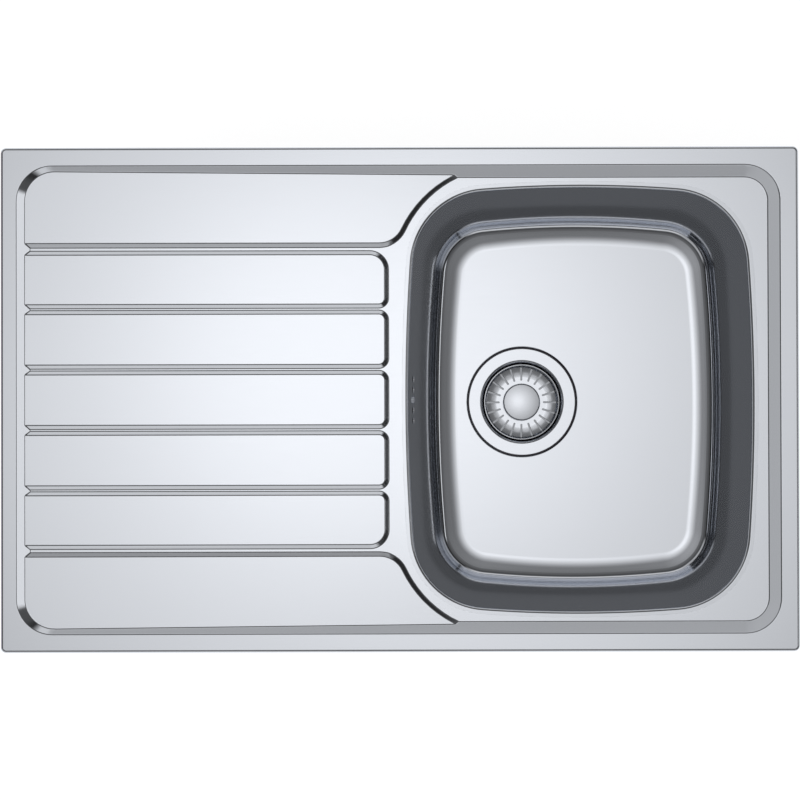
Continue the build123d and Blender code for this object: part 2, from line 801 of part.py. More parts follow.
# ---- clamps: a welded bracket, a screw that rises in it and a hook that swivels on the screw ----
# At each station +X of the clamp's own frame points out of the sink.
clamp_end = sink_length / 2 - clamp_end_inset
clamp_stations = (-clamp_end, bowl_left - clamp_bowl_gap, clamp_end)
stations = [Location((x, sink_width / 2 - clamp_setback, 0), (0, 0, 90)) for x in clamp_stations]
stations += [Location((sink_length / 2 - clamp_setback, 0, 0), (0, 0, 0))]
stations += [Location((x, clamp_setback - sink_width / 2, 0), (0, 0, -90)) for x in reversed(clamp_stations)]
stations += [Location((clamp_setback - sink_length / 2, 0, 0), (0, 0, 180))]


web_bottom = bracket_web_top - bracket_web
with BuildPart() as clamp_brackets:
    with Locations(*stations):
        for side in (-1, 1):
            with Locations((0, side * (bracket_width - bracket_sheet) / 2, web_bottom)):
                Box(2 * bracket_reach, bracket_sheet, rim_height - web_bottom, align=on_base)
    # The cheeks end on the underside of the pressing, also where it slopes up to the rim.
    add(die.moved(Location((0, 0, -sheet))), mode=Mode.INTERSECT)
    for station in stations:
        with Locations(station):
            with Locations((0, 0, web_bottom)):
                Box(2 * bracket_reach, bracket_width, bracket_web, align=on_base)
            with Locations((0, 0, web_bottom - collar_height)):
                Cylinder(collar_radius, collar_height, align=on_base)
            with Locations((0, 0, bracket_web_top)):
                Hole(clamp_screw_radius + screw_clearance, depth=bracket_web + collar_height)
save(clamp_brackets.part, "clamp_brackets")

head_top_z = clamp_tip - clamp_screw_length
for number, station in enumerate(stations, start=1):
    with BuildPart() as clamp_screw:
        with Locations(station):
            with Locations((0, 0, head_top_z)):
                Cylinder(clamp_screw_radius, clamp_screw_length, align=on_base)
            with Locations((0, 0, head_top_z - clamp_head_height)):
                Cylinder(clamp_head_radius, clamp_head_height, align=on_base)
                slot_depth = clamp_head_height / 2
                Box(2 * clamp_head_radius, clamp_head_slot, slot_depth, align=on_base, mode=Mode.SUBTRACT)
    save(clamp_screw.part, f"clamp_screw_{number}")

    with BuildPart() as clamp_hook:
        with Locations(station):
            with Locations((0, 0, head_top_z)):
                Cylinder(hook_eye, hook_sheet, align=on_base)
            with Locations((0, -hook_reach / 2, head_top_z)):
                Box(hook_width, hook_reach, hook_sheet, align=on_base)
            with Locations((0, hook_sheet / 2 - hook_reach, head_top_z)):
                Box(hook_width, hook_sheet, hook_sheet + hook_tooth, align=on_base)
            tooth_z = head_top_z + hook_sheet + hook_tooth
            for notch in (-1, 0, 1):
                with Locations((notch * hook_width / 3, hook_sheet / 2 - hook_reach, tooth_z)):
                    Box(hook_notch, hook_sheet, hook_notch, rotation=(0, 45, 0), mode=Mode.SUBTRACT)
            with Locations((0, 0, head_top_z + hook_sheet)):
                Hole(clamp_screw_radius + hook_bore_clearance, depth=hook_sheet)
    save(clamp_hook.part, f"clamp_hook_{number}")
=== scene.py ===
import json
import math
import bmesh
import bpy
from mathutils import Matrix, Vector

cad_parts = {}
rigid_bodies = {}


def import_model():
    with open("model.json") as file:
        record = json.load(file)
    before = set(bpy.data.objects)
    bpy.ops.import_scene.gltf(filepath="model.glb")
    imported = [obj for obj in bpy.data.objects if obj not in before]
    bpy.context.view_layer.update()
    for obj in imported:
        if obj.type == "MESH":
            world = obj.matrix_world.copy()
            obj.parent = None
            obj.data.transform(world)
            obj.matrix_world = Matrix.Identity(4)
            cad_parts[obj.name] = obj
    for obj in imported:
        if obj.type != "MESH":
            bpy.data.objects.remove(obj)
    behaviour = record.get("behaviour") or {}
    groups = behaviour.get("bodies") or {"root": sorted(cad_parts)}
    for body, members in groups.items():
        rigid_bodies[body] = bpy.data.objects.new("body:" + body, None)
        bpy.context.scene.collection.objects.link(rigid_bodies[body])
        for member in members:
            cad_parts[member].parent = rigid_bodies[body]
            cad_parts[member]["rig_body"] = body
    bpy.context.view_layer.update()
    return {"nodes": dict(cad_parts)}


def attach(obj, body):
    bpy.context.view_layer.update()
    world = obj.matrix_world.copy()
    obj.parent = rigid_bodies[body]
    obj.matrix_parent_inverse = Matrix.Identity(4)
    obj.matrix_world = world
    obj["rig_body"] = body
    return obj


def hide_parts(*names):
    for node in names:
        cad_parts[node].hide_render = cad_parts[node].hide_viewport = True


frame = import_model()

print("frame loaded")


# A socket that can be used in ordinary sums. make() adds any other node.
class Wire:
    def __init__(self, tree, socket=None):
        self.tree = tree
        self.socket = socket

    def make(self, kind, settings={}, values={}, output=0):
        node = self.tree.nodes.new(kind)
        for key, value in settings.items():
            if key == "stops":
                ramp = node.color_ramp
                while len(ramp.elements) < len(value):
                    ramp.elements.new(1)
                for element, (place, shade) in zip(ramp.elements, value):
                    element.position = place
                    element.color = (shade, shade, shade, 1)
            else:
                setattr(node, key, value)
        for key, value in values.items():
            if isinstance(value, Wire):
                self.tree.links.new(value.socket, node.inputs[key])
            else:
                node.inputs[key].default_value = value
        return Wire(self.tree, node.outputs[output] if node.outputs else None)

    def sum(self, operation, first, second=0.0):
        return self.make("ShaderNodeMath", {"operation": operation}, {0: first, 1: second})

    def __add__(self, other):
        return self.sum("ADD", self, other)

    def __sub__(self, other):
        return self.sum("SUBTRACT", self, other)

    def __rsub__(self, other):
        return self.sum("SUBTRACT", other, self)

    def __mul__(self, other):
        return self.sum("MULTIPLY", self, other)


def blankMaterial(name):
    material = bpy.data.materials.new(name)
    material.use_nodes = True
    material.node_tree.nodes.clear()
    return material, Wire(material.node_tree)


def finishMaterial(pen, base, rough, bump=None, **fixed):
    values = {"Base Color": base, "Roughness": rough, **fixed}
    if bump is not None:
        values["Normal"] = bump
    surface = pen.make("ShaderNodeBsdfPrincipled", {}, values)
    pen.make("ShaderNodeOutputMaterial", {}, {"Surface": surface})


def grain(pen, scale, detail=2.0, stretch=(1, 1, 1)):
    # Noise on object coordinates, stretched along the axes.
    place = pen.make("ShaderNodeTexCoord", {}, {}, "Object")
    place = pen.make("ShaderNodeMapping", {}, {"Vector": place, "Scale": stretch})
    return pen.make("ShaderNodeTexNoise", {}, {"Vector": place, "Scale": scale, "Detail": detail}, 0)


def between(pen, share, low, high):
    ends = {place: tone if isinstance(tone, Wire) else (*tone, 1) for place, tone in ((6, low), (7, high))}
    return pen.make("ShaderNodeMix", {"data_type": "RGBA"}, {0: share, **ends}, 2)


def height(pen):
    place = pen.make("ShaderNodeTexCoord", {}, {}, "Object")
    return pen.make("ShaderNodeSeparateXYZ", {}, {0: place}, "Z")


def relief(pen, swell, depth, strength):
    return pen.make("ShaderNodeBump", {}, {"Height": swell, "Distance": depth, "Strength": strength})


# Grain sizes are counts to the metre, and depths are in metres. The brushing runs along the sink.
steelFinish = {
    "dark": (0.775, 0.80, 0.85),
    "light": (0.81, 0.836, 0.888),
    "roughness": 0.08,
    "cloudScale": 7.0,
    "cloudRoughness": 0.02,
    "brushScale": 900.0,
    "brushStretch": (0.05, 1, 1),
    "brushRoughness": 0.02,
    "brushDepth": 0.00001,
    "brushStrength": 0.25,
    "detail": 3.0,
}


def makeSteel(name, finish):
    material, pen = blankMaterial(name)
    clouds = grain(pen, finish["cloudScale"], finish["detail"])
    brush = grain(pen, finish["brushScale"], finish["detail"], finish["brushStretch"])
    rough = brush * finish["brushRoughness"] + clouds * finish["cloudRoughness"] + finish["roughness"]
    bump = relief(pen, brush, finish["brushDepth"], finish["brushStrength"])
    base = between(pen, clouds, finish["dark"], finish["light"])
    if "shadeTop" in finish:
        # Painted shade: below this height the colour turns to the darker tone given.
        inShade = pen.sum("LESS_THAN", height(pen), finish["shadeTop"])
        base = between(pen, inShade, base, finish["paintedShade"])
    finishMaterial(pen, base, rough, bump, Metallic=1.0)
    return material


# The bowl's steel is the sheet's steel made a little darker, painted shade for the inside of the bowl. Below
# the given height, the seat round the strainer's flange, it is near black: a painted shadow in that gap.
shadedBowlTones = {
    "dark": (0.735, 0.758, 0.806),
    "light": (0.765, 0.79, 0.84),
    "paintedShade": (0.04, 0.04, 0.045),
    "shadeTop": -0.1475,
}
# The cup's steel turns darker below the given height: painted shade in its well under the basket.
cupTones = {"roughness": 0.10, "paintedShade": (0.30, 0.31, 0.33), "shadeTop": -0.172}
strainerTones = {"roughness": 0.11}
sheetSteel = makeSteel("sheetSteel", steelFinish)
shadedBowlSteel = makeSteel("shadedBowlSteel", {**steelFinish, **shadedBowlTones})
shadedCupSteel = makeSteel("shadedCupSteel", {**steelFinish, **cupTones})
strainerSteel = makeSteel("strainerSteel", {**steelFinish, **strainerTones})

zincFinish = {
    "dark": (0.52, 0.53, 0.55),
    "light": (0.70, 0.71, 0.70),
    "roughness": 0.25,
    "spotScale": 260.0,
    "spotDetail": 4.0,
    "spotRoughness": 0.18,
    "pitScale": 1500.0,
    "pitDepth": 0.00004,
    "pitStrength": 0.3,
}
clampThread = {"low": -0.049, "high": -0.0185, "pitch": 0.001, "depth": 0.0006}


def makeZinc(name, finish, thread=None):
    material, pen = blankMaterial(name)
    spots = grain(pen, finish["spotScale"], finish["spotDetail"])
    bump = relief(pen, grain(pen, finish["pitScale"]), finish["pitDepth"], finish["pitStrength"])
    if thread:
        # A screw's thread, on its shank only.
        level = height(pen)
        turns = pen.sum("ABSOLUTE", pen.sum("FRACT", level * (1 / thread["pitch"])) - 0.5)
        shank = pen.sum("GREATER_THAN", level, thread["low"]) * pen.sum("LESS_THAN", level, thread["high"])
        bump = relief(pen, turns * shank, thread["depth"], 1.0)
    base = between(pen, spots, finish["dark"], finish["light"])
    rough = spots * finish["spotRoughness"] + finish["roughness"]
    finishMaterial(pen, base, rough, bump, Metallic=1.0)
    return material


plasticFinish = {
    "flowScale": 40.0,
    "flowRoughness": 0.1,
    "pitScale": 2600.0,
    "pitDepth": 0.00003,
    "pitStrength": 0.35,
}
whiteTones = {"low": (0.78, 0.78, 0.76), "high": (0.84, 0.84, 0.83), "roughness": 0.37}
greyTones = {"low": (0.47, 0.48, 0.49), "high": (0.54, 0.55, 0.56), "roughness": 0.41}


def makePlastic(name, tones, finish):
    material, pen = blankMaterial(name)
    flow = grain(pen, finish["flowScale"])
    bump = relief(pen, grain(pen, finish["pitScale"]), finish["pitDepth"], finish["pitStrength"])
    base = between(pen, flow, tones["low"], tones["high"])
    finishMaterial(pen, base, flow * finish["flowRoughness"] + tones["roughness"], bump)
    return material


rubberFinish = {"cloudScale": 60.0, "cellRoughness": 0.1, "cellStrength": 0.5}
gasketTones = {
    "low": (0.022, 0.022, 0.023),
    "high": (0.034, 0.034, 0.035),
    "roughness": 0.55,
    "cellScale": 1800.0,
    "cellDepth": 0.00003,
}
stripTones = {
    "low": (0.10, 0.10, 0.105),
    "high": (0.15, 0.15, 0.155),
    "roughness": 0.80,
    "cellScale": 1100.0,
    "cellDepth": 0.00012,
}
padTones = {
    "low": (0.055, 0.055, 0.06),
    "high": (0.08, 0.08, 0.085),
    "roughness": 0.73,
    "cellScale": 420.0,
    "cellDepth": 0.0002,
}


def makeRubber(name, tones, finish):
    material, pen = blankMaterial(name)
    place = pen.make("ShaderNodeTexCoord", {}, {}, "Object")
    cells = pen.make("ShaderNodeTexVoronoi", {}, {"Vector": place, "Scale": tones["cellScale"]})
    bump = relief(pen, cells, tones["cellDepth"], finish["cellStrength"])
    base = between(pen, grain(pen, finish["cloudScale"]), tones["low"], tones["high"])
    finishMaterial(pen, base, cells * finish["cellRoughness"] + tones["roughness"], bump)
    return material


zincPlate = makeZinc("zincPlate", zincFinish)
threadedZinc = makeZinc("threadedZinc", zincFinish, clampThread)
whitePlastic = makePlastic("whitePlastic", whiteTones, plasticFinish)
greyPlastic = makePlastic("greyPlastic", greyTones, plasticFinish)
gasketRubber = makeRubber("gasketRubber", gasketTones, rubberFinish)
stripRubber = makeRubber("stripRubber", stripTones, rubberFinish)
padRubber = makeRubber("padRubber", padTones, rubberFinish)
print("materials made")


weldReach = 1e-6


def weldedCopy(nodeName):
    # A copy of a CAD node with its triangles joined up.
    mesh = frame["nodes"][nodeName].data.copy()
    form = bmesh.new()
    form.from_mesh(mesh)
    bmesh.ops.remove_doubles(form, verts=form.verts, dist=weldReach)
    form.to_mesh(mesh)
    form.free()
    return mesh


def smoothFans(corners, normals, limit):
    # The corners at one vertex, in groups whose faces meet there at less than the limit.
    fans = [[corner] for corner in corners]
    for one in range(len(corners)):
        for two in range(one + 1, len(corners)):
            near, far = corners[one], corners[two]
            joined = len(set(near["ends"]) & set(far["ends"])) > 0
            if not joined or normals[near["face"]].angle(normals[far["face"]], 0) > limit:
                continue
            home = next(fan for fan in fans if near in fan)
            other = next(fan for fan in fans if far in fan)
            if home is not other:
                home.extend(other)
                fans.remove(other)
    return fans


# In metres and degrees. The board's fall is to the metre. The pivots are the recess's corners by the bowl.
evenSetup = {
    "boardFall": 0.0076,
    "flatAngle": 0.15,
    "pivotX": 0.3415,
    "pivotY": 0.1965,
    "pivotReach": 0.045,
}
boardWay = Vector((evenSetup["boardFall"], 0, 1)).normalized()
flatWays = [Vector((0, 0, 1)), Vector((0, 0, -1)), boardWay, -boardWay]
flatShare = math.cos(math.radians(evenSetup["flatAngle"]))
deckPivots = [
    (Vector((evenSetup["pivotX"], side * evenSetup["pivotY"])), Vector((1, side))) for side in (1, -1)
]
# The crown of the strainer's cap: its middle, the lean where it ends and how fast it turns with the radius.
capDome = {"middle": Vector((0.125, 0)), "edgeAngle": 12, "turn": 3.4}


def turnedOut(way, place, pivots):
    # A pivot is the middle of a turned corner and the way out to it. Near one, directions point along a radius.
    for middle, out in pivots:
        away = place - middle
        if away.x * out.x >= 0 and away.y * out.y >= 0 and away.length < evenSetup["pivotReach"]:
            flat = away.normalized() * way.to_2d().length
            turned = flat if flat.dot(way.to_2d()) > 0 else -flat
            way = Vector((turned.x, turned.y, way.z))
    return way


def evenWay(way, place, faceWays, pivots, dome):
    # Where a rounding runs out into a level or tilted sheet, the sheet's own direction holds. A dome's crown
    # is one even curve.
    way = turnedOut(way, place, pivots)
    if dome and way.z > math.cos(math.radians(dome["edgeAngle"])):
        lean = (place - dome["middle"]) * dome["turn"]
        return Vector((lean.x, lean.y, 1))
    for flat in flatWays:
        if any(faceWay.dot(flat) > flatShare for faceWay in faceWays):
            way = flat
    return way


def evenNormals(piece, sharpAngle, pivots=(), dome=None):
    mesh = piece.data
    mesh.shade_smooth()
    limit = math.radians(sharpAngle)
    normals = [face.normal.copy() for face in mesh.polygons]
    corners = [[] for _ in mesh.vertices]
    for face in mesh.polygons:
        ring = list(face.vertices)
        for spot, loop in enumerate(face.loop_indices):
            ends = (ring[spot - 1], ring[(spot + 1) % len(ring)])
            corner = {"loop": loop, "face": face.index, "ends": ends, "weight": face.area**2}
            corners[ring[spot]].append(corner)
    split = [Vector((0, 0, 1))] * len(mesh.loops)
    for vertex, around in zip(mesh.vertices, corners):
        place = vertex.co.to_2d()
        for fan in smoothFans(around, normals, limit):
            mean = sum((normals[corner["face"]] * corner["weight"] for corner in fan), Vector()).normalized()
            way = evenWay(mean, place, [normals[corner["face"]] for corner in fan], pivots, dome)
            for corner in fan:
                split[corner["loop"]] = way.normalized() if way.length > 0 else normals[corner["face"]]
    mesh.normals_split_custom_set(split)


# Pieces whose CAD shape is right get even normals over a welded copy of it.
steelSkins = {
    "drainboard_deck": ("drainboardDeck", sheetSteel, "sheet_steel", 24, {"pivots": deckPivots}),
    "strainer_cup": ("strainerCup", shadedCupSteel, "polished_steel", 24, {}),
    "basket": ("basketShell", strainerSteel, "polished_steel", 24, {}),
    "basket_cap": ("basketCap", strainerSteel, "polished_steel", 24, {"dome": capDome}),
    "waste_screw": ("wasteScrew", strainerSteel, "polished_steel", 24, {}),
    "overflow_screw": ("overflowScrew", strainerSteel, "polished_steel", 30, {}),
}


def addSkin(nodeName, pieceName, material, slotName, sharpAngle, guides):
    skin = bpy.data.objects.new(pieceName, weldedCopy(nodeName))
    bpy.context.scene.collection.objects.link(skin)
    skin.data.materials.clear()
    skin.data.materials.append(material)
    evenNormals(skin, sharpAngle, **guides)
    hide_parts(nodeName)
    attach(skin, frame["nodes"][nodeName]["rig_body"])


for nodeName, looks in steelSkins.items():
    addSkin(nodeName, *looks)
print("steel skins made")

# The bowl is drawn row by row over a sparse outline, in metres. Seat rows are radius and depth under its
# floor, and floor shares are steps from the toe to the seat.
bowlForm = {
    "x": 0.1786,
    "top": -0.0052,
    "length": 0.3408,
    "width": 0.42,
    "bulge": 0.01,
    "corner": 0.0746,
    "depth": 0.141,
    "lean": 0.027,
    "heelCorner": 0.05,
    "heelRound": 0.012,
    "toeRun": 0.018,
    "toeRise": 0.0025,
    "toeRound": 0.08,
    "mouthRound": 0.0035,
    "flange": 0.006,
    "sheet": 0.001,
    "wasteX": 0.125,
    "floorShares": (0.03, 0.12, 0.35, 0.65, 0.9),
    "seatRows": [(0.0570, 0), (0.0566, 0.0001), (0.0563, 0.0004), (0.0559, 0.0026), (0.0557, 0.0029),
                 (0.0554, 0.003), (0.0495, 0.003), (0.0445, 0.003)],
    "sideSteps": 14,
    "cornerSteps": 18,
    "wallRows": 6,
    "mouthRows": 8,
    "heelRows": 12,
    "toeRows": 8,
    "slots": (-0.0206, -0.0103, 0.0103, 0.0206),
    "slotWidth": 0.0062,
    "slotHeight": 0.01,
    "slotSteps": 12,
    "screwHole": 0.0023,
    "overflowDepth": 0.027,
    "cutInside": 0.006,
    "cutOutside": 0.008,
    "cutWeld": 1e-7,
    "sharpAngle": 24,
}


def arcPoints(centre, radius, start, end, steps):
    # Each point comes with the outward direction there.
    points = []
    for step in range(steps):
        angle = start + (end - start) * step / steps
        out = Vector((math.cos(angle), math.sin(angle)))
        points.append((centre + out * radius, out))
    return points


def barrelOutline(form, grow, corner):
    # Bowed sides with rounded corners, round the bowl's middle.
    halfX = form["length"] / 2 + grow
    halfY = form["width"] / 2 + grow
    bulge = form["bulge"]
    endRadius = ((halfX - bulge) ** 2 + bulge**2) / (2 * bulge)
    sideRadius = ((halfY - bulge) ** 2 + bulge**2) / (2 * bulge)
    endCentre = Vector((0, halfY - endRadius))
    sideCentre = Vector((halfX - sideRadius, 0))
    # The corner's centre lies where the two circles that are smaller by its radius meet.
    gap = sideCentre - endCentre
    endReach = endRadius - corner
    sideReach = sideRadius - corner
    along = (endReach**2 - sideReach**2 + gap.length_squared) / (2 * gap.length)
    aside = math.sqrt(endReach**2 - along**2)
    lane = gap.normalized()
    centre = endCentre + lane * along + Vector((lane.y, -lane.x)) * aside
    toSide = centre - sideCentre
    toEnd = centre - endCentre
    low = math.atan2(toSide.y, toSide.x)
    high = math.atan2(toEnd.y, toEnd.x)
    quarter = arcPoints(sideCentre, sideRadius, 0, low, form["sideSteps"])
    quarter += arcPoints(centre, corner, low, high, form["cornerSteps"])
    quarter += arcPoints(endCentre, endRadius, high, math.pi / 2, form["sideSteps"])
    top = (Vector((0, halfY)), Vector((0, 1)))
    flipX = [(Vector((-spot.x, spot.y)), Vector((-out.x, out.y))) for spot, out in reversed(quarter[1:])]
    half = quarter + [top] + flipX
    left = (Vector((-halfX, 0)), Vector((-1, 0)))
    flipY = [(Vector((spot.x, -spot.y)), Vector((out.x, -out.y))) for spot, out in reversed(half[1:])]
    return half + [left] + flipY


def bentRow(before, corner, after, radius, steps):
    # A rounding between two straight stretches.
    incoming = (corner - before).normalized()
    outgoing = (after - corner).normalized()
    turn = incoming.angle(outgoing)
    inward = (outgoing - incoming * incoming.dot(outgoing)).normalized()
    start = corner - incoming * (radius * math.tan(turn / 2))
    points = []
    for step in range(steps + 1):
        angle = turn * step / steps
        onward = incoming * (radius * math.sin(angle))
        points.append(start + onward + inward * (radius * (1 - math.cos(angle))))
    return points


def bowlRows(form):
    top = form["top"]
    floor = top - form["depth"]
    heelInset = form["lean"] * (1 - form["toeRise"] / form["depth"])
    toeInset = form["lean"] + form["toeRun"]
    flange = barrelOutline(form, form["flange"], form["corner"] + form["flange"])
    mouth = barrelOutline(form, 0, form["corner"])
    heel = barrelOutline(form, -heelInset, form["heelCorner"])
    toe = barrelOutline(form, -toeInset, form["heelCorner"] - form["toeRun"])
    middle = Vector((form["x"], 0, 0))
    waste = Vector((form["wasteX"], 0, 0))
    columns = []
    for (edge, _), (high, _), (bend, _), (low, lowOut) in zip(flange, mouth, heel, toe):
        edgePoint = Vector((edge.x, edge.y, top)) + middle
        highPoint = Vector((high.x, high.y, top)) + middle
        bendPoint = Vector((bend.x, bend.y, floor + form["toeRise"])) + middle
        lowPoint = Vector((low.x, low.y, floor)) + middle
        levelPoint = lowPoint - Vector((lowOut.x, lowOut.y, 0))
        column = [edgePoint] + bentRow(edgePoint, highPoint, bendPoint, form["mouthRound"], form["mouthRows"])
        heelRow = bentRow(highPoint, bendPoint, lowPoint, form["heelRound"], form["heelRows"])
        toeRow = bentRow(bendPoint, lowPoint, levelPoint, form["toeRound"], form["toeRows"])
        wallTop = column[-1]
        wallRows = form["wallRows"]
        column += [wallTop.lerp(heelRow[0], row / wallRows) for row in range(1, wallRows)]
        column += heelRow + [heelRow[-1].lerp(toeRow[0], 0.5)] + toeRow
        start = column[-1]
        away = Vector((start.x, start.y, 0)) - waste
        away.normalize()
        seat = [waste + away * radius + Vector((0, 0, floor - drop)) for radius, drop in form["seatRows"]]
        column += [start.lerp(seat[0], share) for share in form["floorShares"]]
        columns.append(column + seat)
    return columns


def slotCutter(form, place, width, height):
    # An upright slot or a round hole, right through the overflow's stretch of wall.
    slope = form["lean"] / form["depth"]
    depth = form["overflowDepth"]
    x = form["x"] - form["length"] / 2 + slope * depth
    steps = form["slotSteps"]
    rim = []
    for side in (1, -1):
        for step in range(steps + 1):
            angle = math.pi * step / steps
            across = math.cos(angle) * side * width / 2
            up = math.sin(angle) * side * width / 2 + side * (height - width) / 2
            rim.append((across, up))
    mesh = bpy.data.meshes.new("slotCutter")
    cutter = bmesh.new()
    level = form["top"] - depth

    def ring(shift):
        return [cutter.verts.new((x + shift - up * slope, place + across, level + up)) for across, up in rim]

    near = ring(form["cutInside"])
    far = ring(-form["cutOutside"])
    cutter.faces.new(near)
    cutter.faces.new(far)
    for one in range(len(rim)):
        two = (one + 1) % len(rim)
        cutter.faces.new((near[one], near[two], far[two], far[one]))
    bmesh.ops.remove_doubles(cutter, verts=cutter.verts, dist=form["cutWeld"])
    bmesh.ops.recalc_face_normals(cutter, faces=cutter.faces)
    cutter.to_mesh(mesh)
    cutter.free()
    piece = bpy.data.objects.new("slotCutter", mesh)
    bpy.context.scene.collection.objects.link(piece)
    return piece


def plainMesh(piece):
    # Settles a piece's modifiers into its mesh.
    shown = piece.evaluated_get(bpy.context.evaluated_depsgraph_get())
    mesh = bpy.data.meshes.new_from_object(shown)
    piece.modifiers.clear()
    piece.data = mesh
    mesh.name = piece.name


def addBowl(form):
    columns = bowlRows(form)
    shell = bmesh.new()
    grid = [[shell.verts.new(point) for point in column] for column in columns]
    for one, column in enumerate(grid):
        beside = grid[(one + 1) % len(grid)]
        for row in range(len(column) - 1):
            shell.faces.new((column[row], beside[row], beside[row + 1], column[row + 1]))
    bmesh.ops.recalc_face_normals(shell, faces=shell.faces)
    shell.faces.ensure_lookup_table()
    floorFace = min(shell.faces, key=lambda face: face.calc_center_median().z)
    if floorFace.normal.z < 0:
        bmesh.ops.reverse_faces(shell, faces=shell.faces)
    mesh = bpy.data.meshes.new("bowlShell")
    shell.to_mesh(mesh)
    shell.free()
    bowl = bpy.data.objects.new("bowlShell", mesh)
    bpy.context.scene.collection.objects.link(bowl)
    mesh.materials.append(shadedBowlSteel)
    wall = bowl.modifiers.new("wall", "SOLIDIFY")
    wall.thickness = form["sheet"]
    wall.offset = -1
    wall.use_even_offset = True
    cutters = [slotCutter(form, place, form["slotWidth"], form["slotHeight"]) for place in form["slots"]]
    screwWidth = 2 * form["screwHole"]
    cutters.append(slotCutter(form, 0, screwWidth, screwWidth))
    for cutter in cutters:
        hole = bowl.modifiers.new("hole", "BOOLEAN")
        hole.object = cutter
        hole.solver = "EXACT"
    plainMesh(bowl)
    for cutter in cutters:
        bpy.data.objects.remove(cutter)
    evenNormals(bowl, form["sharpAngle"])
    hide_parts("bowl")
    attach(bowl, "sink")
    print("bowl drawn:", len(bowl.data.polygons), "faces")


addBowl(bowlForm)

# The hose follows a smooth route of two straight runs and a bend, and its ribs swell along it, in metres. A
# rib's half width and its flank are shares of the pitch.
hoseForm = {
    "topX": -0.00203,
    "topZ": -0.06,
    "endX": 0.061,
    "endZ": -0.1797,
    "bend": 0.038,
    "routeSteps": 32,
    "steps": 400,
    "around": 36,
    "ribHalf": 0.4,
    "ribFlank": 0.2,
    "sharpAngle": 50,
}
hoseSizes = {
    "cuffRadius": 0.01,
    "rootRadius": 0.0096,
    "crestRadius": 0.011,
    "flangeRadius": 0.0118,
    "flangeLength": 0.002,
    "ribPitch": 0.005,
    "ribbedRun": 0.12,
}


def growTree(name, labels):
    tree = bpy.data.node_groups.new(name, "GeometryNodeTree")
    tree.interface.new_socket("Geometry", in_out="INPUT", socket_type="NodeSocketGeometry")
    for label in labels:
        tree.interface.new_socket(label, in_out="INPUT", socket_type="NodeSocketFloat")
    tree.interface.new_socket("Geometry", in_out="OUTPUT", socket_type="NodeSocketGeometry")
    return tree, Wire(tree)


def ribbedTree(form, sizes, material):
    tree, pen = growTree("ribbedHose", sizes)
    size = {label: pen.make("NodeGroupInput", {}, {}, label) for label in sizes}
    route = pen.make("NodeGroupInput", {}, {}, "Geometry")
    walked = pen.make("GeometryNodeResampleCurve", {}, {"Curve": route, "Count": form["steps"]})
    run = pen.make("GeometryNodeSplineParameter", {}, {}, "Length")
    length = pen.make("GeometryNodeSplineLength", {}, {}, "Length")
    first = (length - size["ribbedRun"]) * 0.5
    ribbed = pen.sum("GREATER_THAN", run, first) * pen.sum("LESS_THAN", run, first + size["ribbedRun"])
    share = pen.sum("FRACT", pen.sum("DIVIDE", run - first, size["ribPitch"]))
    swell = pen.sum("DIVIDE", form["ribHalf"] - pen.sum("ABSOLUTE", share - 0.5), form["ribFlank"])
    crest = pen.make("ShaderNodeMapRange", {"interpolation_type": "SMOOTHSTEP"}, {"Value": swell})
    rib = size["rootRadius"] + (size["crestRadius"] - size["rootRadius"]) * crest
    low = pen.sum("LESS_THAN", run, size["flangeLength"])
    high = pen.sum("GREATER_THAN", run, length - size["flangeLength"])
    radius = size["cuffRadius"] + (rib - size["cuffRadius"]) * ribbed
    radius = radius + (size["flangeRadius"] - size["cuffRadius"]) * (low + high)
    ring = {"Resolution": form["around"], "Radius": 1.0}
    circle = pen.make("GeometryNodeCurvePrimitiveCircle", {}, ring)
    profile = {"Curve": walked, "Profile Curve": circle, "Scale": radius, "Fill Caps": True}
    tube = pen.make("GeometryNodeCurveToMesh", {}, profile)
    whole = pen.make("GeometryNodeRealizeInstances", {}, {"Geometry": tube})
    dressed = pen.make("GeometryNodeSetMaterial", {}, {"Geometry": whole, "Material": material})
    pen.make("NodeGroupOutput", {}, {"Geometry": dressed})
    return tree


def grow(source, tree, sizes, name):
    # The grown result as a plain mesh of its own.
    modifier = source.modifiers.new(name, "NODES")
    modifier.node_group = tree
    for item in tree.interface.items_tree:
        if item.in_out == "INPUT" and item.name in sizes:
            modifier[item.identifier] = sizes[item.name]
    shown = source.evaluated_get(bpy.context.evaluated_depsgraph_get())
    mesh = bpy.data.meshes.new_from_object(shown)
    bpy.data.objects.remove(source)
    piece = bpy.data.objects.new(name, mesh)
    bpy.context.scene.collection.objects.link(piece)
    return piece


def addHose(form, sizes):
    curve = bpy.data.curves.new("hoseRoute", "CURVE")
    curve.dimensions = "3D"
    top = Vector((form["topX"], 0, form["topZ"]))
    end = Vector((form["endX"], 0, form["endZ"]))
    bendStart = Vector((top.x, 0, end.z + form["bend"]))
    bendEnd = Vector((top.x + form["bend"], 0, end.z))
    corner = Vector((top.x, 0, end.z))
    points = [top, (top + bendStart) / 2, bendStart, corner, bendEnd, (bendEnd + end) / 2, end]
    route = curve.splines.new("NURBS")
    route.points.add(len(points) - 1)
    for knot, point in zip(route.points, points):
        # A quarter circle needs this weight at its corner.
        knot.co = (*point, math.sqrt(0.5) if point is corner else 1)
    route.order_u = 3
    route.use_bezier_u = True
    route.use_endpoint_u = True
    route.resolution_u = form["routeSteps"]
    source = bpy.data.objects.new("hoseRoute", curve)
    bpy.context.scene.collection.objects.link(source)
    hose = grow(source, ribbedTree(form, sizes, greyPlastic), sizes, "overflowHose")
    evenNormals(hose, form["sharpAngle"])
    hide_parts("overflow_hose")
    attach(hose, "sink")
    print("hose grown:", len(hose.data.polygons), "faces")


addHose(hoseForm, hoseSizes)

